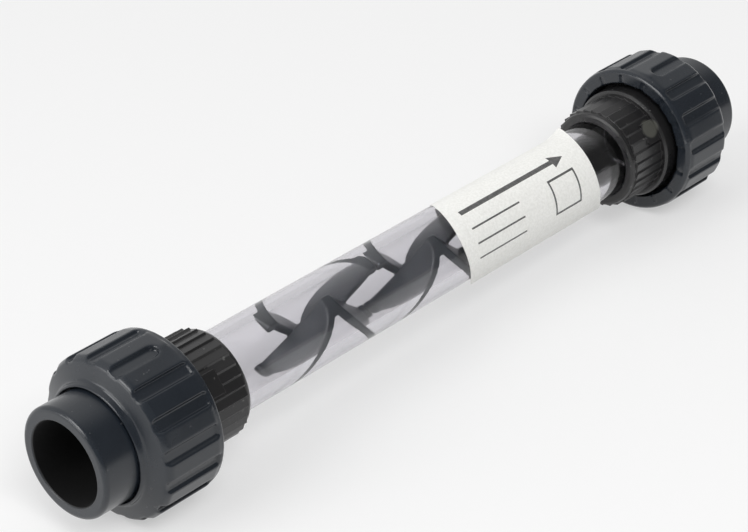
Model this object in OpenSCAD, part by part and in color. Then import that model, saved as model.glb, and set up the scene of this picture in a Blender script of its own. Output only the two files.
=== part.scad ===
// Static mixer for a 32 mm plastic pipeline: a clear tube holding three
// moulded mixing units, with a cemented union (end, nut, ribbed bush and
// O-ring) at each end. The flow axis is X, the part lies on a nut flat.

/* [Tube] */
// outside diameter of the clear tube and of the pipe it joins
tube_od = 32; // [20:0.5:63]
// wall of the clear tube
tube_wall = 4.6; // [2:0.1:6]
// clear length of tube between the left bush and the first mixing unit
left_room = 23.25; // [2:0.25:60]
// clear length of tube between the last mixing unit and the right bush
right_room = 21.25; // [2:0.25:60]

/* [Sockets] */
// depth of each cemented socket
socket_depth = 22; // [14:0.5:40]
// radial gap between a pipe and its socket wall, filled by cement
cement_gap = 0.05; // [0.02:0.01:0.1]
// wall left around a socket
socket_wall = 4.9; // [3.5:0.1:8]
// bore of the union behind its sockets
union_bore = 26; // [16:0.5:28]
// lead-in chamfer at a socket mouth
mouth_chamfer = 0.5; // [0.3:0.1:1.2]

/* [Union end] */
// length of the smooth collar standing out of the nut
end_stickout = 14; // [8:0.5:30]
// rounding of the collar's outer edge
end_round = 1.8; // [0.5:0.1:3]
// thickness of the flange that the nut pulls on
flange_length = 5; // [3:0.25:9]
// how far the flange stands out from the collar
flange_height = 2.4; // [1.5:0.1:5]

/* [Union bush] */
// length of the ribbed collar standing out of the nut
bush_stickout = 23; // [14:0.5:40]
// length of the narrower bore between the tube's socket and the sealing face
neck_length = 21.9; // [14:0.1:40]
// number of ribs around the collar
rib_count = 32; // [16:1:48]
// depth of each rib step
rib_depth = 0.7; // [0.3:0.05:1.2]
// how far the collar's core lies below the rib valleys
rib_floor = 0.2; // [0.1:0.05:0.6]
// share of a rib's pitch over which it rises
rib_share = 0.82; // [0.5:0.02:0.95]
// rounding of the collar's mouth
bush_round = 1.4; // [0.6:0.1:2]
// plain ring at the mouth of the ribbed collar
bush_lip = 2.2; // [1:0.1:5]
// height of the shoulder ring above the collar
shoulder_height = 2.0; // [1:0.1:4]
// length of the shoulder ring outside the nut
shoulder_length = 4.5; // [2:0.25:8]
// radius of the male thread above the collar
thread_height = 2.9; // [2:0.1:6]
// chamfer of the shoulder ring and of the thread's ends
thread_chamfer = 0.8; // [0.4:0.1:1.5]
// length of the male thread inside the nut
thread_length = 17; // [10:0.5:30]
// width of the flat moulded boss on the ribs
boss_width = 9; // [5:0.5:14]
// length of the flat moulded boss on the ribs
boss_length = 7; // [4:0.5:12]
// height of the flat moulded boss over the rib crests
boss_height = 0.1; // [0.05:0.05:0.5]
// turn of the boss from the front, towards the top on the right bush and down on the left
boss_turn = 38; // [0:1:90]

/* [O-ring] */
// cord diameter of the O-ring
cord = 2.8; // [2:0.1:4]
// side room for the cord in its groove
cord_room = 0.6; // [0.3:0.1:1.5]

/* [Union nut] */
// thickness of the front lip that holds the flange
lip_length = 5; // [3:0.25:9]
// wall from the thread bore out to the grip flats
nut_wall = 6.6; // [4:0.1:12]
// number of grip flats
flat_count = 16; // [8:1:24]
// width of the groove between two flats
groove_width = 4.9; // [2.5:0.1:8]
// depth of the groove between two flats
groove_depth = 1.5; // [0.8:0.1:2.5]
// reach of each groove's round end onto the shoulder
groove_run = 2.2; // [0.5:0.1:4]
// length left solid behind the one short groove, where the mould was filled
gate_length = 6.5; // [4:0.5:16]
// place of the short groove, counted from the top towards the front
gate_place = 0; // [0:1:7]
// length of the plain rim behind the flats
rim_length = 2.8; // [2:0.1:6]
// chamfer of the rim's rear edge
rim_chamfer = 1; // [0.5:0.1:2]
// depth of the rim below the flats
rim_step = 0.3; // [0.2:0.1:1]
// length of the sloping shoulder in front of the flats
dome_length = 4.2; // [3:0.1:9]
// drop of the shoulder where it bends towards the hole
shoulder_fall = 1.2; // [0.6:0.1:4]
// distance of that bend from the flats
shoulder_bend = 1.8; // [1:0.1:4]
// length of the small ring around the front hole
front_ring = 2.4; // [1:0.1:4]
// width of the small ring around the front hole
front_ring_width = 1.2; // [0.8:0.1:3]
// flare at the foot of the small ring
ring_flare = 0.3; // [0.1:0.1:1]
// broken edge of the small ring
ring_edge = 0.4; // [0.2:0.1:1]
// width of the marks on the rear face
tick_width = 1.8; // [0.6:0.1:3]
// distance of the marks from the rim's edge
tick_inset = 1; // [0.5:0.1:3]
// depth of the marks on the rear face
tick_depth = 0.5; // [0.2:0.1:1]

/* [Mixing units] */
// length of one unit
unit_length = 57.5; // [40:0.5:90]
// thickness of a deflecting plate
plate = 2.6; // [2:0.1:4]
// length of the flat crest in the middle of a strip
crest = 3; // [1.5:0.1:8]
// length of the flat foot at each end of a strip
foot = 2.7; // [1.5:0.1:8]
// press fit of the plate edges in the tube wall
plate_press = 0.05; // [0.02:0.01:0.1]
// gap between two units
unit_gap = 0.4; // [0.2:0.1:2]
// turn of the insert about the flow axis
insert_turn = 21.4; // [0:0.1:90]

/* [Label] */
// length of the label along the tube
label_length = 80; // [30:1:100]
// distance of the label from the right bush
label_gap = 18.5; // [5:0.5:60]
// thickness of the label sheet
label_sheet = 0.25; // [0.15:0.05:0.5]
// angle the label wraps around the tube
label_wrap = 200; // [90:5:300]
// turn of the label's middle from straight up, towards the front
label_turn = 60; // [0:5:180]
// gap of glue below the label
label_glue = 0.04; // [0.02:0.01:0.1]

/* [Clearances] */
// radial gap between thread crests and nut bore
thread_gap = 0.35; // [0.3:0.05:0.8]
// radial gap between union end and nut hole
hole_gap = 0.6; // [0.3:0.05:1.2]
// axial gap between flange and nut lip
flange_gap = 0.3; // [0.2:0.05:1]
// axial gap between the two sealing faces
face_gap = 0.3; // [0.2:0.05:1]
// gap between the O-ring and each face it seals on
ring_gap = 0.1; // [0.05:0.05:0.3]
// axial gap between the tube's end and the socket stop
stop_gap = 0.3; // [0.2:0.05:1]
// length of the widened rear mouth of the nut bore
relief_length = 3; // [1:0.5:6]
// widening of the nut bore at its rear mouth
rear_relief = 0.6; // [0.3:0.1:2]

/* [View] */
// sub-part to build

/* [Hidden] */
$fn = 96;
eps = 0.01;
tube_r = tube_od / 2;
bore_r = tube_r - tube_wall;
flow_r = union_bore / 2;
socket_r = tube_r + cement_gap;
collar_r = socket_r + socket_wall;
// axial stations of one union, measured outwards from the bush mouth
nut_rear = bush_stickout;
bush_face = socket_depth + neck_length;
flange_in = bush_face + face_gap;
flange_out = flange_in + flange_length;
lip_in = flange_out + flange_gap;
nut_front = lip_in + lip_length;
end_mouth = nut_front + end_stickout;
thread_in = bush_face - thread_length;
shoulder_in = nut_rear - shoulder_length;
unit_count = 3;
tube_free = left_room + unit_count * unit_length + right_room;
half_free = tube_free / 2;
half_length = half_free + end_mouth;
tube_length = tube_free + 2 * (socket_depth - stop_gap);
// radii of one union
core_r = collar_r - rib_depth - rib_floor;
shoulder_r = collar_r + shoulder_height;
thread_r = collar_r + thread_height;
nut_bore_r = thread_r + thread_gap;
flange_r = collar_r + flange_height;
hole_r = collar_r + hole_gap;
flat_r = nut_bore_r + nut_wall;
rim_r = flat_r - rim_step;
dome_r = hole_r + front_ring_width;
corner_r = flat_r / cos(180 / flat_count);
pad_rear = nut_rear + rim_length;
pad_front = nut_front - front_ring - dome_length;
groove_bottom = flat_r - groove_depth;
groove_r = groove_width / 2;
// O-ring seat: the cord lies in a groove of the bush face
ring_r = (flow_r + thread_r) / 2;
groove_deep = cord + 2 * ring_gap - face_gap;
seat_width = cord + cord_room;
unit_r = bore_r + plate_press;
half_unit = unit_length / 2;
insert_start = left_room - half_free;
label_start = half_free - label_gap - label_length;
label_r = tube_r + label_glue;

// turns a profile of radius over length about the flow axis, growing outwards on side s
module lathe(s) {
  rotate([0, s * 90, 0])
    translate([0, 0, half_free])
      rotate_extrude()
        children();
}

// ring profile from a to b along the axis between two radii
module band(a, b, r_in, r_out) {
  translate([r_in, a])
    square([r_out - r_in, b - a]);
}

module union_end(s) {
  color([0.36, 0.38, 0.41])
    lathe(s)
      difference() {
        union() {
          band(flange_in, flange_out, flow_r, flange_r);
          band(flange_in, end_mouth - end_round, flow_r, collar_r);
          band(flange_in, end_mouth, flow_r, collar_r - end_round);
          translate([collar_r - end_round, end_mouth - end_round])
            intersection() {
              circle(end_round);
              square(end_round);
            }
        }
        band(end_mouth - socket_depth, end_mouth + eps, 0, socket_r);
        polygon([
          [socket_r - eps, end_mouth + eps],
          [socket_r + mouth_chamfer, end_mouth + eps],
          [socket_r - eps, end_mouth - mouth_chamfer]
        ]);
      }
}

// outline of the nut's wall before the flats are cut
module nut_profile() {
  difference() {
    polygon([
      [0, nut_rear],
      [rim_r - rim_chamfer, nut_rear],
      [rim_r, nut_rear + rim_chamfer],
      [rim_r, pad_rear],
      [flat_r + shoulder_fall, pad_rear],
      [flat_r + shoulder_fall, pad_front - shoulder_bend],
      [flat_r - shoulder_fall, pad_front + shoulder_bend],
      [dome_r + ring_flare, nut_front - front_ring],
      [dome_r, nut_front - ring_edge],
      [dome_r - ring_edge, nut_front],
      [0, nut_front]
    ]);
    band(nut_rear - eps, lip_in, 0, nut_bore_r);
    band(nut_rear - eps, nut_rear + relief_length, 0, nut_bore_r + rear_relief);
    band(lip_in - eps, nut_front + eps, 0, hole_r);
  }
}

// flat-sided prism that bounds the grip flats
module flats_prism() {
  rotate(180 / flat_count)
    polygon([for (k = [0:flat_count - 1])
      corner_r * [cos(k * 360 / flat_count), sin(k * 360 / flat_count)]]);
}

// flat-bottomed grip groove with round ends, starting a length behind the rim
module grip_groove(start) {
  rear = pad_rear + start;
  front = pad_front + groove_run - groove_r;
  translate([groove_bottom, 0, 0])
    rotate([0, 90, 0])
      linear_extrude(2 * groove_depth)
        union() {
          translate([-front, -groove_r])
            square([front - rear, groove_width]);
          translate([-front, 0])
            circle(groove_r, $fn = 48);
          if (start > 0)
            translate([-rear, 0])
              circle(groove_r, $fn = 48);
        }
}

// narrow mark on the rear face behind each groove
module rear_tick() {
  translate([nut_bore_r, -tick_width / 2, nut_rear - eps])
    cube([rim_r - rim_chamfer - tick_inset - nut_bore_r, tick_width, tick_depth + eps]);
}

module union_nut(s) {
  color([0.35, 0.37, 0.40])
    rotate([0, s * 90, 0])
      translate([0, 0, half_free])
        difference() {
          intersection() {
            rotate_extrude()
              nut_profile();
            linear_extrude(nut_front + 1)
              flats_prism();
          }
          rotate(s > 0 ? 180 : 0)
            for (k = [0:flat_count - 1])
              rotate(s * (k + 0.5) * 360 / flat_count) {
                grip_groove(k == gate_place ? gate_length : 0);
                rear_tick();
              }
        }
}

// saw-tooth outline of the ribbed collar
module rib_outline() {
  step = 360 / rib_count;
  polygon([for (k = [0:rib_count - 1], e = [0, 1])
    let (a = (k + e * rib_share) * step, r = collar_r - e * rib_depth)
      r * [cos(a), sin(a)]]);
}

module union_bush(s) {
  color([0.31, 0.31, 0.32])
    rotate([0, s * 90, 0])
      translate([0, 0, half_free])
        difference() {
          union() {
            translate([0, 0, bush_lip])
              linear_extrude(shoulder_in - bush_lip + rib_floor)
                rib_outline();
            rotate(-90 - s * boss_turn)
              translate([core_r - boss_width / 2, -boss_width / 2, shoulder_in - boss_length])
                cube([boss_width / 2 + rib_depth + rib_floor + boss_height, boss_width, boss_length + rib_floor]);
            rotate_extrude()
              polygon([
                [0, 0],
                [core_r - bush_round, 0],
                [core_r - bush_round * (1 - sin(45)), bush_round * (1 - sin(45))],
                [core_r, bush_round],
                [core_r, shoulder_in],
                [shoulder_r - thread_chamfer, shoulder_in],
                [shoulder_r, shoulder_in + thread_chamfer],
                [shoulder_r, thread_in],
                [thread_r, thread_in + thread_chamfer],
                [thread_r, bush_face - thread_chamfer],
                [thread_r - thread_chamfer, bush_face],
                [0, bush_face]
              ]);
          }
          rotate_extrude()
            union() {
              band(-eps, socket_depth, 0, socket_r);
              band(-eps, bush_face + eps, 0, flow_r);
              polygon([
                [socket_r - eps, -eps],
                [socket_r + mouth_chamfer, -eps],
                [socket_r - eps, mouth_chamfer]
              ]);
              band(bush_face - groove_deep, bush_face + eps,
                ring_r - seat_width / 2, ring_r + seat_width / 2);
            }
        }
}

module o_ring(s) {
  color([0.08, 0.08, 0.08])
    lathe(s)
      translate([ring_r, bush_face - groove_deep + ring_gap + cord / 2])
        circle(cord / 2);
}

module clear_tube() {
  color([0.80, 0.80, 0.84, 0.4])
    rotate([0, 90, 0])
      difference() {
        cylinder(h = tube_length, r = tube_r, center = true);
        cylinder(h = tube_length + 2, r = bore_r, center = true);
      }
}

// one straight leg of a strip's edge view, round at both ends
module leg(from, to) {
  step = to - from;
  translate(from)
    rotate(atan2(step[1], step[0])) {
      translate([0, -plate / 2])
        square([norm(step), plate]);
      circle(plate / 2, $fn = 32);
      translate([norm(step), 0])
        circle(plate / 2, $fn = 32);
    }
}

// edge view of one zigzag strip: foot, rise, crest, fall and foot
module zigzag() {
  rise = unit_r - plate / 2;
  end = half_unit - unit_gap / 2 - plate / 2;
  for (m = [0, 1])
    mirror([m, 0]) {
      leg([-end, -rise], [-end + foot, -rise]);
      leg([-end + foot, -rise], [-crest / 2, rise]);
      leg([-crest / 2, rise], [crest / 4, rise]);
    }
}

// one moulded unit: a front strip and a back strip that cross in the middle
module mixing_unit(i) {
  color([0.30, 0.32, 0.34])
    translate([insert_start + (i + 0.5) * unit_length, 0, 0])
      rotate([insert_turn, 0, 0])
        intersection() {
          rotate([0, 90, 0])
            cylinder(h = unit_length, r = unit_r, center = true);
          union() {
            rotate([90, 0, 0])
              linear_extrude(unit_r + 1)
                zigzag();
            mirror([0, 0, 1])
              rotate([90, 0, 0])
                translate([0, 0, -unit_r - 1])
                  linear_extrude(unit_r + 1)
                    zigzag();
          }
        }
}

module label() {
  color([0.90, 0.90, 0.87])
    rotate([label_turn, 0, 0])
      translate([label_start, 0, 0])
        rotate([0, 90, 0])
          rotate([0, 0, 180 - label_wrap / 2])
            rotate_extrude(angle = label_wrap)
              translate([label_r, 0])
                square([label_sheet, label_length]);
}

clear_tube();
union_end(-1);  // left_union_end
union_nut(-1);  // left_union_nut
union_bush(-1);  // left_union_bush
o_ring(-1);  // left_o_ring
union_end(1);  // right_union_end
union_nut(1);  // right_union_nut
union_bush(1);  // right_union_bush
o_ring(1);  // right_o_ring
mixing_unit(0);  // mixing_unit_1
mixing_unit(1);  // mixing_unit_2
mixing_unit(2);  // mixing_unit_3
label();
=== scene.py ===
# %% [markdown]
# # A static mixer for plastic pipework
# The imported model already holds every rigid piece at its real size: the clear
# tube, the zigzag mixing units, and a union (end, nut, bush, O-ring) at each
# end. This lesson dresses that model. The finishes come first, then the paper
# label, the moulded edges, the cement and the union threads, and last the table,
# the light and the camera.

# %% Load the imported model
import bpy
import math
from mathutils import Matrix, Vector


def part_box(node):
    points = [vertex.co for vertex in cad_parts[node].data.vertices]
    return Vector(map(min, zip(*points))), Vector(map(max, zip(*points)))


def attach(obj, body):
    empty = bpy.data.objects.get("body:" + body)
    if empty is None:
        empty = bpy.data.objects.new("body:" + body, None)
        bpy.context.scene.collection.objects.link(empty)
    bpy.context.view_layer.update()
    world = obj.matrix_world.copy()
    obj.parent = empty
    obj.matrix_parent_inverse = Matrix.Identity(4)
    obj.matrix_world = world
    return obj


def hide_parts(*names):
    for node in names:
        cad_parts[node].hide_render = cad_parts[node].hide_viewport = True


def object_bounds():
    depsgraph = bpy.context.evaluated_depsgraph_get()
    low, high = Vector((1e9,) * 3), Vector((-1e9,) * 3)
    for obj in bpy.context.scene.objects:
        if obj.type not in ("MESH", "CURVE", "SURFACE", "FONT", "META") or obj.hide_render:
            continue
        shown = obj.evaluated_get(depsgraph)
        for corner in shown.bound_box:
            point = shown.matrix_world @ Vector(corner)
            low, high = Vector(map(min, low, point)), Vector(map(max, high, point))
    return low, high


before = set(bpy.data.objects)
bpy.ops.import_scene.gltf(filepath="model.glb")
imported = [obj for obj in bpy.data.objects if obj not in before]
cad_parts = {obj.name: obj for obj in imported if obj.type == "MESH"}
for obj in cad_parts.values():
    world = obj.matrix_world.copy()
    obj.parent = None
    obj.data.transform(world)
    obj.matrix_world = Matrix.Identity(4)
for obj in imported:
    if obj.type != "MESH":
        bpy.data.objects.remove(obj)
cad_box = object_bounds()
MM = 0.001
SIDES = ("left", "right")
UNITS = (1, 2, 3)
PIPE_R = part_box("clear_tube")[1][2] / MM
print("nodes:", sorted(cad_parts))
print("pipe radius: %.2f mm" % PIPE_R)

# %% [markdown]
# ## Helpers for finishes
# Every finish is a Principled shader fed by noise on Object coordinates. Those
# coordinates stay still on a piece that moves, so the grain of a nut turns with
# the nut. Values that are the same all over are typed straight into the
# shader's own sockets.

# %% Material helpers
def new_finish(name):
    finish = bpy.data.materials.new(name)
    finish.use_nodes = True
    shader = finish.node_tree.nodes["Principled BSDF"]
    return finish, finish.node_tree.nodes, finish.node_tree.links, shader


def grain(nodes, links, scale, detail, rough):
    place = nodes.new("ShaderNodeTexCoord")
    noise = nodes.new("ShaderNodeTexNoise")
    noise.inputs["Scale"].default_value = scale
    noise.inputs["Detail"].default_value = detail
    noise.inputs["Roughness"].default_value = rough
    links.new(place.outputs["Object"], noise.inputs["Vector"])
    return noise.outputs["Fac"]


def spread(nodes, links, source, low, high, start=0.3, stop=0.7):
    ramp = nodes.new("ShaderNodeMapRange")
    ramp.inputs["From Min"].default_value = start
    ramp.inputs["From Max"].default_value = stop
    ramp.inputs["To Min"].default_value = low
    ramp.inputs["To Max"].default_value = high
    links.new(source, ramp.inputs["Value"])
    return ramp.outputs["Result"]


def tint(nodes, links, source, dark, light, start=0.35, stop=0.65):
    ramp = nodes.new("ShaderNodeValToRGB")
    ramp.color_ramp.elements[0].position = start
    ramp.color_ramp.elements[0].color = (*dark, 1.0)
    ramp.color_ramp.elements[1].position = stop
    ramp.color_ramp.elements[1].color = (*light, 1.0)
    links.new(source, ramp.inputs["Fac"])
    return ramp.outputs["Color"]


def lay_over(nodes, links, mask, below, above):
    mix = nodes.new("ShaderNodeMix")
    mix.data_type = "RGBA"
    links.new(mask, mix.inputs["Factor"])
    links.new(below, mix.inputs["A"])
    mix.inputs["B"].default_value = (*above, 1.0)
    return mix.outputs["Result"]


def dress(node, finish):
    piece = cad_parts[node]
    piece.data.materials.clear()
    piece.data.materials.append(finish)


# %% [markdown]
# ## Rounded edges, wear and painted highlight
# A mould leaves every edge slightly round, and that thin curve is what catches
# the light. The solids have sharp edges, so a Bevel node rounds the shading
# normal there. Where the rounded normal leaves the true one there is an edge, and
# the same comparison gives the mask for a lighter edge colour. That colour is
# partly the wear that handling leaves and partly a painted highlight; on the
# mixing units inside the pipe it is painted highlight.

# %% Edge helper
EDGE_SAMPLES = 6
EDGE_STARTS, EDGE_FULL = 0.995, 0.90


def soft_edge(nodes, links, radius):
    rounded = nodes.new("ShaderNodeBevel")
    rounded.samples = EDGE_SAMPLES
    rounded.inputs["Radius"].default_value = radius
    surface = nodes.new("ShaderNodeNewGeometry")
    agree = nodes.new("ShaderNodeVectorMath")
    agree.operation = "DOT_PRODUCT"
    links.new(rounded.outputs["Normal"], agree.inputs[0])
    links.new(surface.outputs["Normal"], agree.inputs[1])
    # This mask marks where edges get a lighter colour: partly wear, partly painted highlight.
    edge_rounding = spread(nodes, links, agree.outputs["Value"], 0.0, 1.0, EDGE_STARTS, EDGE_FULL)
    return rounded.outputs["Normal"], edge_rounding


# %% [markdown]
# ## Moulded anthracite plastic
# The union ends and nuts are injection moulded in a bluish, nearly black grey.
# The mould leaves a satin skin with faint flow clouds, a very fine grain and a
# few specks of dust. One function makes this finish, and the bushes and the
# insert use it again in their own shades.

# %% Moulded plastics
CLOUD_SCALE, SPECK_SCALE, GRAIN_SCALE = 55.0, 620.0, 900.0
SPECK_STARTS, SPECK_FULL = 0.80, 0.84
DUST_GREY = (0.30, 0.30, 0.29)
GRAIN_STRENGTH, GRAIN_DEPTH = 0.05, 0.2
SMOOTHER, ROUGHER = 0.04, 0.06
PLASTIC_IOR, PLASTIC_SPECULAR = 1.52, 0.58


def moulded_plastic(name, dark, light, edge_wear_and_highlight, rough, edge, dust):
    finish, nodes, links, shader = new_finish(name)
    normal, edge_rounding = soft_edge(nodes, links, edge * MM)
    clouds = grain(nodes, links, CLOUD_SCALE, detail=3.0, rough=0.55)
    body = tint(nodes, links, clouds, dark, light)
    # Lighter edges: partly handling wear, partly a painted highlight.
    edged = lay_over(nodes, links, edge_rounding, body, edge_wear_and_highlight)
    dots = grain(nodes, links, SPECK_SCALE, detail=0.0, rough=0.5)
    specks = spread(nodes, links, dots, 0.0, dust, SPECK_STARTS, SPECK_FULL)
    dusty = lay_over(nodes, links, specks, edged, DUST_GREY)
    links.new(dusty, shader.inputs["Base Color"])
    satin = spread(nodes, links, clouds, rough - SMOOTHER, rough + ROUGHER)
    links.new(satin, shader.inputs["Roughness"])
    bump = nodes.new("ShaderNodeBump")
    bump.inputs["Strength"].default_value = GRAIN_STRENGTH
    bump.inputs["Distance"].default_value = GRAIN_DEPTH * MM
    skin = grain(nodes, links, GRAIN_SCALE, detail=2.0, rough=0.5)
    links.new(skin, bump.inputs["Height"])
    links.new(normal, bump.inputs["Normal"])
    links.new(bump.outputs["Normal"], shader.inputs["Normal"])
    shader.inputs["IOR"].default_value = PLASTIC_IOR
    shader.inputs["Specular IOR Level"].default_value = PLASTIC_SPECULAR
    return finish


union_grey = moulded_plastic("union_grey", dark=(0.011, 0.0145, 0.020), light=(0.014, 0.018, 0.024),
                             edge_wear_and_highlight=(0.032, 0.036, 0.043), rough=0.22, edge=0.3, dust=0.10)
bush_grey = moulded_plastic("bush_grey", dark=(0.011, 0.011, 0.0115), light=(0.014, 0.0135, 0.014),
                            edge_wear_and_highlight=(0.036, 0.035, 0.036), rough=0.28, edge=0.35, dust=0.25)
# On the mixing units the lighter edge colour is a painted highlight.
insert_grey = moulded_plastic("insert_grey", dark=(0.070, 0.080, 0.090), light=(0.080, 0.090, 0.101),
                              edge_wear_and_highlight=(0.180, 0.188, 0.198), rough=0.34, edge=0.6, dust=0.0)
for side in SIDES:
    dress(side + "_union_end", union_grey)
    dress(side + "_union_nut", union_grey)
    dress(side + "_union_bush", bush_grey)
for number in UNITS:
    dress("mixing_unit_%d" % number, insert_grey)
print("moulded finishes:", union_grey.name, bush_grey.name, insert_grey.name)

# %% [markdown]
# ## Dull sockets with painted shade
# The mould's core is not polished, so the inside of a socket is dull. Its deep
# shade is painted: near black is laid over its colour there. The distance from
# the flow axis tells inside from outside: a Mapping node flattens X, and the
# length that is left is the radius.

# %% Painted socket shade
SOCKET_GAP, SOCKET_EDGE, SOCKET_ROUGH = 0.1, 0.5, 0.7
SOCKET_R = PIPE_R + SOCKET_GAP
# Near black painted as the shade inside a socket, not the plastic's own colour.
SOCKET_PAINTED_SHADE = (0.0012, 0.0012, 0.0014)


def dull_and_shade_inside(finish, radius, edge, colour):
    nodes, links = finish.node_tree.nodes, finish.node_tree.links
    shader = nodes["Principled BSDF"]
    place = nodes.new("ShaderNodeTexCoord")
    flatten = nodes.new("ShaderNodeMapping")
    flatten.inputs["Scale"].default_value = (0.0, 1.0, 1.0)
    links.new(place.outputs["Object"], flatten.inputs["Vector"])
    from_axis = nodes.new("ShaderNodeVectorMath")
    from_axis.operation = "LENGTH"
    links.new(flatten.outputs["Vector"], from_axis.inputs[0])
    inside = spread(nodes, links, from_axis.outputs["Value"], 1.0, 0.0, radius, radius + edge)
    colour_in, rough_in = shader.inputs["Base Color"], shader.inputs["Roughness"]
    # The near black laid over the inside here is painted shade.
    darker = lay_over(nodes, links, inside, colour_in.links[0].from_socket, colour)
    links.new(darker, colour_in)
    rougher = nodes.new("ShaderNodeMix")
    links.new(inside, rougher.inputs["Factor"])
    links.new(rough_in.links[0].from_socket, rougher.inputs["A"])
    rougher.inputs["B"].default_value = SOCKET_ROUGH
    links.new(rougher.outputs["Result"], rough_in)


dull_and_shade_inside(union_grey, SOCKET_R * MM, SOCKET_EDGE * MM, SOCKET_PAINTED_SHADE)
print("dull inside a radius of %.1f mm" % SOCKET_R)

# %% [markdown]
# ## The paler spot on the right bush
# The flat boss of the right bush is given a paler, greyer colour than its ribs.
# The distance from the middle of that boss makes the mask, and the spot is laid
# over the colour that the finish already has.

# %% Paler spot on the boss
MARK_X, MARK_ANGLE, MARK_R, MARK_REACH = 123.9, math.radians(48.0), 20.9, 4.3
MARK_SOLID = 0.8
MARK_GREY = (0.072, 0.072, 0.063)


def lay_spot(finish, centre, reach, colour):
    nodes, links = finish.node_tree.nodes, finish.node_tree.links
    colour_in = nodes["Principled BSDF"].inputs["Base Color"]
    place = nodes.new("ShaderNodeTexCoord")
    away = nodes.new("ShaderNodeVectorMath")
    away.operation = "DISTANCE"
    links.new(place.outputs["Object"], away.inputs[0])
    away.inputs[1].default_value = centre
    inside = spread(nodes, links, away.outputs["Value"], 1.0, 0.0, MARK_SOLID * reach, reach)
    spotted = lay_over(nodes, links, inside, colour_in.links[0].from_socket, colour)
    links.new(spotted, colour_in)


mark_y, mark_z = -MARK_R * math.sin(MARK_ANGLE), MARK_R * math.cos(MARK_ANGLE)
mark_centre = Vector((MARK_X, mark_y, mark_z)) * MM
lay_spot(bush_grey, mark_centre, MARK_REACH * MM, MARK_GREY)
print("filling mark at", [round(value / MM, 1) for value in mark_centre])

# %% [markdown]
# ## Clear pipe
# The tube is extruded clear plastic with a faint lavender cast. The solid has
# its true thick wall, so a transmitting shader bends light as the real pipe
# does: the mixing plates show up to the bore's edge, and their pressed rims
# show further out, where they touch the wall. The plastic itself swallows a
# little light on the way, so the thick edges are no paler than the middle. Long
# streaks from the extruder run along the pipe: the noise is stretched along X.

# %% Clear plastic
STREAK_STRETCH = (6.0, 260.0, 260.0)
STREAK_SMOOTH, STREAK_ROUGH = 0.04, 0.09
CLEAR_TINT, CLEAR_IOR = (0.905, 0.900, 0.915, 1.0), 1.53
HAZE_TINT, HAZE_DENSITY = (0.10, 0.05, 0.20, 1.0), 17.0
clear_plastic, nodes, links, shader = new_finish("clear_plastic")
place = nodes.new("ShaderNodeTexCoord")
stretch = nodes.new("ShaderNodeMapping")
stretch.inputs["Scale"].default_value = STREAK_STRETCH
streaks = nodes.new("ShaderNodeTexNoise")
streaks.inputs["Scale"].default_value = 1.0
streaks.inputs["Detail"].default_value = 2.0
links.new(place.outputs["Object"], stretch.inputs["Vector"])
links.new(stretch.outputs["Vector"], streaks.inputs["Vector"])
streaky = spread(nodes, links, streaks.outputs["Fac"], STREAK_SMOOTH, STREAK_ROUGH)
links.new(streaky, shader.inputs["Roughness"])
shader.inputs["Base Color"].default_value = CLEAR_TINT
shader.inputs["Transmission Weight"].default_value = 1.0
shader.inputs["IOR"].default_value = CLEAR_IOR
haze = nodes.new("ShaderNodeVolumeAbsorption")
haze.inputs["Color"].default_value = HAZE_TINT
haze.inputs["Density"].default_value = HAZE_DENSITY
links.new(haze.outputs["Volume"], nodes["Material Output"].inputs["Volume"])
dress("clear_tube", clear_plastic)
print("clear finish:", clear_plastic.name)

# %% [markdown]
# ## Seal rubber
# The O-rings are matt black rubber, hidden in the unions until an end is taken
# off. The moulded finish serves again, rougher and without dust.

# %% Rubber
seal_rubber = moulded_plastic("seal_rubber", dark=(0.012, 0.012, 0.012), light=(0.018, 0.018, 0.018),
                              edge_wear_and_highlight=(0.020, 0.020, 0.020), rough=0.62, edge=0.1, dust=0.0)
for side in SIDES:
    dress(side + "_o_ring", seal_rubber)
print("rubber finish:", seal_rubber.name)

# %% [markdown]
# ## Print on the label
# The label's print is generic: an arrow along the flow, three ruled lines to
# write on, and an empty stamp box. A pattern on a pipe is easiest to draw in
# millimetres: X is the length along the pipe, and the angle around the pipe
# times its radius is the height on the paper. Each mark is then a mask, 1 inside
# and 0 outside.

# %% Print helpers
def work_out(nodes, links, operation, first, second):
    step = nodes.new("ShaderNodeMath")
    step.operation = operation
    for socket, value in zip(step.inputs, (first, second)):
        if isinstance(value, (int, float)):
            socket.default_value = value
        else:
            links.new(value, socket)
    return step.outputs["Value"]


def box_mask(nodes, links, along, across, x0, x1, y0, y1):
    mask = work_out(nodes, links, "GREATER_THAN", along, x0)
    limits = (("LESS_THAN", along, x1), ("GREATER_THAN", across, y0), ("LESS_THAN", across, y1))
    for operation, value, limit in limits:
        within = work_out(nodes, links, operation, value, limit)
        mask = work_out(nodes, links, "MULTIPLY", mask, within)
    return mask


# %% Paper coordinates
label_low, label_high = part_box("label")
LABEL_START, LABEL_END = label_low[0] / MM, label_high[0] / MM
paper, nodes, links, shader = new_finish("label_paper")
place = nodes.new("ShaderNodeTexCoord")
parts = nodes.new("ShaderNodeSeparateXYZ")
links.new(place.outputs["Object"], parts.inputs["Vector"])
along = work_out(nodes, links, "DIVIDE", parts.outputs["X"], MM)
forward = work_out(nodes, links, "MULTIPLY", parts.outputs["Y"], -1.0)
around = work_out(nodes, links, "ARCTAN2", forward, parts.outputs["Z"])
across = work_out(nodes, links, "MULTIPLY", around, PIPE_R)
print("label from x = %.1f to %.1f mm" % (LABEL_START, LABEL_END))

# %% [markdown]
# The arrow is a box for its shaft, and for its head a second box that is cut by
# a slope: a point counts if it is nearer to the middle line than its distance
# from the tip allows.

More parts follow.
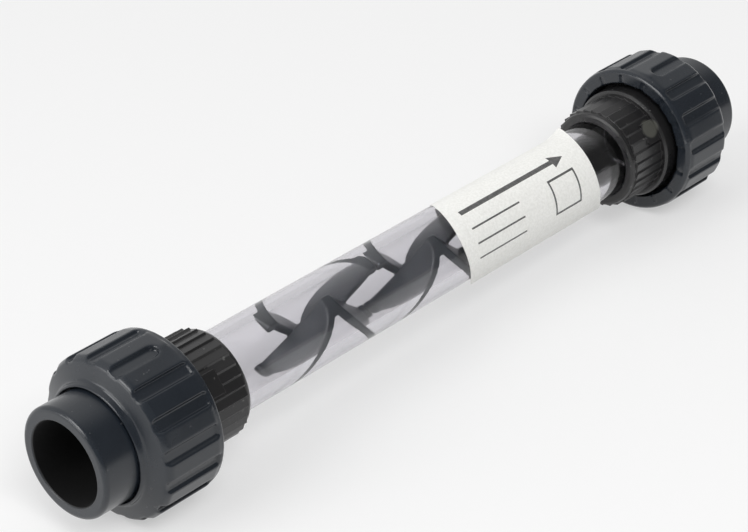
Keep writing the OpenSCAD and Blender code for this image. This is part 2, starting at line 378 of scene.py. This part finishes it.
# %% Flow arrow
LEFT_MARGIN, RIGHT_MARGIN = 8.0, 10.0
PRINT_START, PRINT_END = LABEL_START + LEFT_MARGIN, LABEL_END - RIGHT_MARGIN
ARROW_AT, SHAFT, HEAD, HEAD_LENGTH = 5.5, 1.0, 3.0, 7.0
HEAD_START = PRINT_END - HEAD_LENGTH
shaft = box_mask(nodes, links, along, across, PRINT_START, HEAD_START, ARROW_AT - SHAFT, ARROW_AT + SHAFT)
to_tip = work_out(nodes, links, "SUBTRACT", PRINT_END, along)
off_line = work_out(nodes, links, "SUBTRACT", across, ARROW_AT)
off_line = work_out(nodes, links, "ABSOLUTE", off_line, 0.0)
allowed = work_out(nodes, links, "MULTIPLY", to_tip, HEAD / HEAD_LENGTH)
slope = work_out(nodes, links, "LESS_THAN", off_line, allowed)
head = box_mask(nodes, links, along, across, HEAD_START, PRINT_END, ARROW_AT - HEAD, ARROW_AT + HEAD)
marks = [shaft, work_out(nodes, links, "MULTIPLY", head, slope)]
print("arrow from x = %.1f to %.1f mm" % (PRINT_START, PRINT_END))

# %% [markdown]
# Each ruled line is a thin box. The stamp box is a large box less a smaller one.

# %% Ruled lines and stamp box
RULE, RULE_LENGTH, RULE_HEIGHTS = 0.7, 28.0, (13.0, 19.0, 25.0)
FRAME, BOX_WIDTH, BOX_LOW, BOX_HIGH = 0.9, 16.0, 11.5, 26.0
RULE_END, BOX_START = PRINT_START + RULE_LENGTH, PRINT_END - BOX_WIDTH
for height in RULE_HEIGHTS:
    low, high = height - RULE / 2, height + RULE / 2
    marks.append(box_mask(nodes, links, along, across, PRINT_START, RULE_END, low, high))
outer = box_mask(nodes, links, along, across, BOX_START, PRINT_END, BOX_LOW, BOX_HIGH)
inner = box_mask(nodes, links, along, across, BOX_START + FRAME, PRINT_END - FRAME,
                 BOX_LOW + FRAME, BOX_HIGH - FRAME)
marks.append(work_out(nodes, links, "SUBTRACT", outer, inner))
printed = marks[0]
for mark in marks[1:]:
    printed = work_out(nodes, links, "MAXIMUM", printed, mark)
print("printed marks:", len(marks))

# %% [markdown]
# ## Label paper
# The paper is off-white and coated, with fine fibres, faint stains and soft
# wrinkles. The ink sinks in unevenly, so the fibres also thin the print.

# %% Paper and ink
FIBRE_SCALE, STAIN_SCALE, WRINKLE_SCALE = 1000.0, 60.0, 130.0
PAPER_DARK, PAPER_LIGHT = (0.810, 0.808, 0.775), (0.905, 0.903, 0.875)
STAIN, STAIN_MOST = (0.740, 0.735, 0.700), 0.3
INK, INK_THIN, INK_FULL = (0.035, 0.035, 0.037), 0.86, 0.97
WRINKLE_STRENGTH, WRINKLE_DEPTH = 0.25, 0.6
fibre = grain(nodes, links, FIBRE_SCALE, detail=4.0, rough=0.6)
stain = grain(nodes, links, STAIN_SCALE, detail=4.0, rough=0.7)
sheet_tint = tint(nodes, links, fibre, PAPER_DARK, PAPER_LIGHT)
stained = spread(nodes, links, stain, 0.0, STAIN_MOST, start=0.55, stop=0.8)
aged = lay_over(nodes, links, stained, sheet_tint, STAIN)
ink_share = spread(nodes, links, fibre, INK_THIN, INK_FULL)
inked = work_out(nodes, links, "MULTIPLY", printed, ink_share)
links.new(lay_over(nodes, links, inked, aged, INK), shader.inputs["Base Color"])
links.new(spread(nodes, links, fibre, low=0.5, high=0.62), shader.inputs["Roughness"])
wrinkle = nodes.new("ShaderNodeBump")
wrinkle.inputs["Strength"].default_value = WRINKLE_STRENGTH
wrinkle.inputs["Distance"].default_value = WRINKLE_DEPTH * MM
folds = grain(nodes, links, WRINKLE_SCALE, detail=3.0, rough=0.6)
links.new(folds, wrinkle.inputs["Height"])
links.new(wrinkle.outputs["Normal"], shader.inputs["Normal"])
print("paper finish:", paper.name)

# %% [markdown]
# ## The label sheet
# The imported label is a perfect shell. A real one was stuck on by hand: a corner
# has come away, the lower edge hangs a little free and both ends are bowed. The
# sheet starts as a tube around the pipe. Its faces outside the wrap are deleted,
# and its long edges are subdivided, so that it can bend later.

# %% Label sheet
GLUE, AROUND_FACES, LONG_CUTS = 0.05, 180, 47
WRAP_FROM, WRAP_TO = math.radians(-40.0), math.radians(142.0)


def open_cylinder(name, radius, start, stop, faces):
    bpy.ops.object.select_all(action="DESELECT")
    bpy.ops.mesh.primitive_cylinder_add(vertices=faces, radius=radius * MM, depth=(stop - start) * MM,
                                        end_fill_type="NOTHING", rotation=(0.0, math.pi / 2, 0.0),
                                        location=((start + stop) / 2 * MM, 0.0, 0.0))
    piece = bpy.context.active_object
    piece.name = name
    bpy.ops.object.transform_apply(location=True, rotation=True, scale=True)
    return piece


def front_angle(point):
    return math.atan2(-point[1], point[2])


label_sheet = open_cylinder("label_paper_sheet", PIPE_R + GLUE, LABEL_START, LABEL_END, AROUND_FACES)
bpy.ops.object.mode_set(mode="EDIT")
bpy.ops.mesh.select_mode(type="FACE")
bpy.ops.mesh.select_all(action="DESELECT")
bpy.ops.object.mode_set(mode="OBJECT")
for face in label_sheet.data.polygons:
    face.select = not WRAP_FROM < front_angle(face.center) < WRAP_TO
bpy.ops.object.mode_set(mode="EDIT")
bpy.ops.mesh.delete(type="FACE")
bpy.ops.mesh.select_mode(type="EDGE")
bpy.ops.mesh.select_all(action="DESELECT")
bpy.ops.object.mode_set(mode="OBJECT")
for edge in label_sheet.data.edges:
    first, second = (label_sheet.data.vertices[end].co for end in edge.vertices)
    edge.select = abs(first.x - second.x) > MM
bpy.ops.object.mode_set(mode="EDIT")
bpy.ops.mesh.subdivide(number_cuts=LONG_CUTS)
bpy.ops.object.mode_set(mode="OBJECT")
print("label sheet:", len(label_sheet.data.polygons), "faces")

# %% [markdown]
# Two vertex groups say how far each point moves. "curl" lifts the corner and the
# lower edge off the pipe, with a faint ripple all over, and "bow" pushes the ends
# along the pipe.

# %% Curl and bow
CURL_ANGLE, CURL_REACH = WRAP_FROM + math.radians(2.0), 13.0
RIPPLE, RIPPLE_ALONG, RIPPLE_ACROSS, RIPPLE_BEND = 0.01, 0.9, 0.31, 1.3
HANG_FROM, HANG = math.radians(108.0), 0.75
BOW_MIDDLE, BOW_HALF = math.radians(52.0), math.radians(90.0)
curl = label_sheet.vertex_groups.new(name="curl")
bow = label_sheet.vertex_groups.new(name="bow")
for vertex in label_sheet.data.vertices:
    angle = front_angle(vertex.co)
    far_x = LABEL_END - vertex.co.x / MM
    far_y = (angle - CURL_ANGLE) * PIPE_R
    pull = max(0.0, 1.0 - (far_x + max(far_y, 0.0)) / CURL_REACH)
    wave = math.sin(far_x * RIPPLE_ALONG + RIPPLE_BEND * math.sin(far_y * RIPPLE_ACROSS))
    low = max(0.0, (angle - HANG_FROM) / (WRAP_TO - HANG_FROM))
    lift = pull ** 2 + RIPPLE * (1.0 + wave) + HANG * low ** 2
    curl.add([vertex.index], min(1.0, lift), "REPLACE")
    off_middle = (angle - BOW_MIDDLE) / BOW_HALF
    bow.add([vertex.index], min(1.0, off_middle ** 2), "REPLACE")
print("curl and bow set for", len(label_sheet.data.vertices), "points")

# %% [markdown]
# A Displace modifier for each group moves the sheet, and Solidify then gives the
# paper its thickness.

# %% Bent and thickened sheet
SHEET, CURL, BOW = 0.2, 2.2, 9.0
SHEET_SMOOTH = math.radians(40.0)


def displace(piece, group, direction, strength):
    bpy.context.view_layer.objects.active = piece
    move = piece.modifiers.new(group, "DISPLACE")
    move.vertex_group = group
    move.direction = direction
    move.mid_level = 0.0
    move.strength = strength * MM
    bpy.ops.object.modifier_apply(modifier=group)


def thicken(piece, thickness):
    thick = piece.modifiers.new("thick", "SOLIDIFY")
    thick.thickness = thickness * MM
    thick.offset = 1.0
    bpy.ops.object.modifier_apply(modifier="thick")


displace(label_sheet, "curl", "NORMAL", CURL)
displace(label_sheet, "bow", "X", BOW)
thicken(label_sheet, SHEET)
bpy.ops.object.shade_smooth_by_angle(angle=SHEET_SMOOTH)
label_sheet.data.materials.append(paper)
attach(label_sheet, "mixer")
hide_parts("label")
print("label sheet size in mm:", [round(extent / MM, 2) for extent in label_sheet.dimensions])

# %% [markdown]
# ## Moulded edges
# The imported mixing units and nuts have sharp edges, but the real ones come out
# of a mould. Their round edges are what catches the light. Beveling every
# crossing of the strips and every groove by hand is fiddly. A Remesh modifier in
# voxel mode makes an even skin of small faces instead, and a Smooth modifier
# wears its edges round.

# %% Even skin
MERGE, WEAR_STEPS, WEAR_FACTOR = 0.001, 10, 0.5


def even_skin(node, voxel):
    piece = bpy.data.objects.new(node + "_moulded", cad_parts[node].data.copy())
    bpy.context.scene.collection.objects.link(piece)
    bpy.ops.object.select_all(action="DESELECT")
    piece.select_set(True)
    bpy.context.view_layer.objects.active = piece
    bpy.ops.object.mode_set(mode="EDIT")
    bpy.ops.mesh.select_all(action="SELECT")
    bpy.ops.mesh.remove_doubles(threshold=MERGE * MM)
    bpy.ops.object.mode_set(mode="OBJECT")
    skin = piece.modifiers.new("skin", "REMESH")
    skin.mode = "VOXEL"
    skin.voxel_size = voxel * MM
    bpy.ops.object.modifier_apply(modifier="skin")
    bpy.ops.object.shade_smooth()
    return piece


def wear_round(piece, group=""):
    edge_rounding = piece.modifiers.new("edge_rounding", "SMOOTH")
    edge_rounding.factor = WEAR_FACTOR
    edge_rounding.iterations = WEAR_STEPS
    edge_rounding.vertex_group = group
    bpy.ops.object.modifier_apply(modifier="edge_rounding")


def take_over(piece, node, body, finish):
    piece.data.materials.clear()
    piece.data.materials.append(finish)
    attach(piece, body)
    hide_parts(node)
    size = [round(extent / MM, 2) for extent in piece.dimensions]
    print(piece.name, len(piece.data.polygons), "faces", size)


# %% [markdown]
# A mixing unit is worn all over. A small Displace then gives back what the
# smoothing took, so that the plates still press against the wall.

# %% Rounded mixing units
UNIT_VOXEL, SWELL = 0.4, 0.2


def round_unit(number):
    node = "mixing_unit_%d" % number
    unit = even_skin(node, UNIT_VOXEL)
    wear_round(unit)
    swell = unit.modifiers.new("swell", "DISPLACE")
    swell.mid_level = 0.0
    swell.strength = SWELL * MM
    bpy.ops.object.modifier_apply(modifier="swell")
    take_over(unit, node, "mixer", insert_grey)


for number in UNITS:
    round_unit(number)

# %% [markdown]
# A nut is worn on the outside only: its bore stays true, because the thread and
# the flange run close inside it. The bore reaches from the rear face to the lip
# that pulls on the flange. The rear face is worn less, so its marks stay.

# %% Rounded nuts
NUT_VOXEL, LIP, BORE_MARGIN, REAR_WEAR = 0.46, 5.0, 1.0, 0.35


def round_nut(side):
    node = side + "_union_nut"
    nut = even_skin(node, NUT_VOXEL)
    rear, front = sorted(abs(corner[0]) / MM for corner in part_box(node))
    bore_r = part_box(side + "_union_bush")[1][2] / MM + BORE_MARGIN
    lip_start = front - LIP + BORE_MARGIN
    outside = nut.vertex_groups.new(name="outside")
    for vertex in nut.data.vertices:
        from_axis = math.hypot(vertex.co.y, vertex.co.z) / MM
        from_middle = abs(vertex.co.x) / MM
        if from_middle < rear + BORE_MARGIN:
            outside.add([vertex.index], REAR_WEAR, "REPLACE")
        elif from_axis > bore_r or from_middle > lip_start:
            outside.add([vertex.index], 1.0, "REPLACE")
    wear_round(nut, "outside")
    take_over(nut, node, side + "_nut", union_grey)


for side in SIDES:
    round_nut(side)

# %% [markdown]
# ## Cement in the joints
# The tube is cemented into the bushes, and cement leaves no air against the
# clear wall. Without that film the pipe would mirror its own inside there; with
# it the socket shows through as a dark band. Each film is an open cylinder that
# Solidify thickens outwards, from just inside the pipe's skin to the socket.

# %% Cement films
FILM_IN, FILM_OUT, FILM_MARGIN, FILM_FACES = 0.05, 0.04, 0.3, 128
SHARP = math.radians(30.0)


def cement_film(side):
    tube_low, tube_high = (corner[0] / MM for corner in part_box("clear_tube"))
    bush_low, bush_high = (corner[0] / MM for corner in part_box(side + "_union_bush"))
    start = max(tube_low, bush_low) + FILM_MARGIN
    stop = min(tube_high, bush_high) - FILM_MARGIN
    film = open_cylinder(side + "_cement_film", PIPE_R - FILM_IN, start, stop, FILM_FACES)
    thicken(film, FILM_IN + FILM_OUT)
    bpy.ops.object.shade_smooth_by_angle(angle=SHARP)
    film.data.materials.append(bush_grey)
    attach(film, "mixer")
    print("%s from x = %.1f to %.1f mm" % (film.name, start, stop))


for side in SIDES:
    cement_film(side)

# %% [markdown]
# ## Union threads
# The bush carries a coarse male thread inside the nut, which comes free when the
# union is taken apart. One triangle, set on the plain thread cylinder of the
# packed bush, is turned into a helix by the Screw modifier. Both unions have
# right-hand threads, so the same turn serves both sides. The two open ends are
# filled.

# %% Bush threads
PITCH, TURNS, TURN_STEPS = 2.31, 6, 72
RIDGE, ROOT, RIDGE_WIDEN = 0.34, 0.14, 2.0
THREAD_MARGIN = 1.2


def bush_thread(side):
    low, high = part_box(side + "_union_bush")
    crest = high[2] / MM
    start = low[0] / MM + THREAD_MARGIN
    if side == "right":
        start = high[0] / MM - THREAD_MARGIN - TURNS * PITCH
    bpy.ops.object.select_all(action="DESELECT")
    bpy.ops.mesh.primitive_circle_add(vertices=3, radius=RIDGE * MM, fill_type="NOTHING",
                                      rotation=(math.pi / 2, 0.0, 0.0),
                                      location=(start * MM, 0.0, (crest - ROOT) * MM))
    ridge = bpy.context.active_object
    ridge.name = side + "_bush_thread"
    bpy.ops.transform.resize(value=(RIDGE_WIDEN, 1.0, 1.0))
    bpy.ops.object.transform_apply(location=True, rotation=True, scale=True)
    helix = ridge.modifiers.new("helix", "SCREW")
    helix.axis = "X"
    helix.angle = 2 * math.pi
    helix.screw_offset = PITCH * MM
    helix.iterations = TURNS
    helix.steps = helix.render_steps = TURN_STEPS
    bpy.ops.object.modifier_apply(modifier="helix")
    bpy.ops.object.mode_set(mode="EDIT")
    bpy.ops.mesh.select_mode(type="EDGE")
    bpy.ops.mesh.select_all(action="DESELECT")
    bpy.ops.mesh.select_non_manifold()
    bpy.ops.mesh.fill_holes(sides=3)
    bpy.ops.mesh.select_all(action="SELECT")
    bpy.ops.mesh.normals_make_consistent(inside=False)
    bpy.ops.object.mode_set(mode="OBJECT")
    bpy.ops.object.shade_smooth_by_angle(angle=SHARP)
    ridge.data.materials.append(bush_grey)
    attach(ridge, "mixer")
    print(ridge.name, len(ridge.data.polygons), "faces, crest radius %.2f mm" % (crest - ROOT + RIDGE))


for side in SIDES:
    bush_thread(side)

# %% [markdown]
# ## Table
# The part lies on one flat of each nut on a white table. The table's own white
# is partly given to the camera ray itself, so the shadow under the part stays as
# faint as it is on a brightly lit table. Reflections and the clear pipe see the
# same white.

# %% Table
TABLE_Z, TABLE_SIZE = cad_box[0][2], 8.0
TABLE_WHITE, TABLE_ROUGH, TABLE_GLOW, GLOW_SHARE = 0.86, 0.7, 0.95, 0.50
PURE_WHITE = (1.0, 1.0, 1.0, 1.0)
bpy.ops.object.select_all(action="DESELECT")
bpy.ops.mesh.primitive_plane_add(size=TABLE_SIZE, location=(0.0, 0.0, TABLE_Z))
table = bpy.context.active_object
table.name = "table"
bpy.ops.object.transform_apply(location=True, rotation=True, scale=True)
table_white, nodes, links, shader = new_finish("table_white")
shader.inputs["Base Color"].default_value = (TABLE_WHITE, TABLE_WHITE, TABLE_WHITE, 1.0)
shader.inputs["Roughness"].default_value = TABLE_ROUGH
glow = nodes.new("ShaderNodeEmission")
glow.inputs["Color"].default_value = PURE_WHITE
glow.inputs["Strength"].default_value = TABLE_GLOW
rays = nodes.new("ShaderNodeLightPath")
seen = work_out(nodes, links, "MAXIMUM", rays.outputs["Is Camera Ray"], rays.outputs["Is Glossy Ray"])
seen = work_out(nodes, links, "MAXIMUM", seen, rays.outputs["Is Transmission Ray"])
blend = nodes.new("ShaderNodeMixShader")
links.new(work_out(nodes, links, "MULTIPLY", seen, GLOW_SHARE), blend.inputs["Fac"])
links.new(shader.outputs["BSDF"], blend.inputs[1])
links.new(glow.outputs["Emission"], blend.inputs[2])
links.new(blend.outputs["Shader"], nodes["Material Output"].inputs["Surface"])
table.data.materials.append(table_white)
print("table at z =", round(TABLE_Z, 4))

# %% [markdown]
# ## Light tent
# The part stands in a light tent: white behind and above, dark towards the front
# where the camera stands. The world shader makes that tent from the direction of
# the ray. A ray from the camera itself sees a pale backdrop instead.

# %% Light tent
TENT_DARK, TENT_BRIGHT, TENT_STARTS, TENT_FULL = 0.15, 0.75, 0.0, 0.75
TENT_BACK = Vector((0.15, 0.90, 0.35))
world = bpy.data.worlds.new("light_tent")
bpy.context.scene.world = world
world.use_nodes = True
nodes, links = world.node_tree.nodes, world.node_tree.links
sky = nodes["Background"]
where = nodes.new("ShaderNodeTexCoord")
facing = nodes.new("ShaderNodeVectorMath")
facing.operation = "DOT_PRODUCT"
facing.inputs[1].default_value = TENT_BACK.normalized()
links.new(where.outputs["Generated"], facing.inputs[0])
shade = nodes.new("ShaderNodeMapRange")
shade.interpolation_type = "SMOOTHSTEP"
shade.inputs["From Min"].default_value = TENT_STARTS
shade.inputs["From Max"].default_value = TENT_FULL
shade.inputs["To Min"].default_value = TENT_DARK
shade.inputs["To Max"].default_value = TENT_BRIGHT
links.new(facing.outputs["Value"], shade.inputs["Value"])
rays = nodes.new("ShaderNodeLightPath")
backdrop = work_out(nodes, links, "MULTIPLY", rays.outputs["Is Camera Ray"], TABLE_GLOW)
lit = work_out(nodes, links, "MAXIMUM", shade.outputs["Result"], backdrop)
links.new(lit, sky.inputs["Strength"])
sky.inputs["Color"].default_value = PURE_WHITE
print("light tent from", TENT_DARK, "to", TENT_BRIGHT)

# %% [markdown]
# ## Soft lamps
# Two soft lamps on the left, one high and one low, draw the sheen on the nut's
# shoulder. A third, high in front, lights the label; it is kept out of the
# reflections. Each lamp looks at the middle of the part. Places and sizes are in
# metres, power in watts.

# %% Soft lamps
def softbox(name, place, wide, high, power):
    bpy.ops.object.light_add(type="AREA", location=place)
    lamp = bpy.context.active_object
    lamp.name = name
    lamp.data.shape = "RECTANGLE"
    lamp.data.size, lamp.data.size_y = wide, high
    lamp.data.energy = power
    lamp.rotation_euler = (-Vector(place)).to_track_quat("-Z", "Y").to_euler()
    lamp.visible_camera = False
    print(name, power, "W")
    return lamp


softbox("side_softbox", place=(-2.00, 0.40, 1.55), wide=1.4, high=1.1, power=24.0)
softbox("low_softbox", place=(-1.95, 0.85, 0.32), wide=1.2, high=0.5, power=6.0)
front = softbox("front_softbox", place=(-0.65, -1.40, 2.00), wide=1.4, high=1.1, power=39.0)
front.visible_glossy = False

# %% [markdown]
# ## Camera
# The place and focal length come from fitting a pinhole camera to the round
# edges of the tube, nuts and collars, so the part fills the frame as in the
# reference picture. The camera has no roll.

# %% Camera
CAMERA_AT = Vector((-591.157, -516.885, 472.319)) * MM
LOOK = Vector((0.632589, 0.576620, -0.517050))
FOCAL_PX, IMAGE_WIDTH_PX, SENSOR_WIDTH = 2421.83, 748.0, 36.0
camera_data = bpy.data.cameras.new("camera")
camera_data.sensor_width = SENSOR_WIDTH
camera_data.lens = SENSOR_WIDTH * FOCAL_PX / IMAGE_WIDTH_PX
camera = bpy.data.objects.new("camera", camera_data)
bpy.context.scene.collection.objects.link(camera)
camera.location = CAMERA_AT
camera.rotation_euler = LOOK.to_track_quat("-Z", "Y").to_euler()
bpy.context.scene.camera = camera
bpy.context.scene.view_settings.view_transform = "Standard"
print("lens", round(camera_data.lens, 2), "mm")
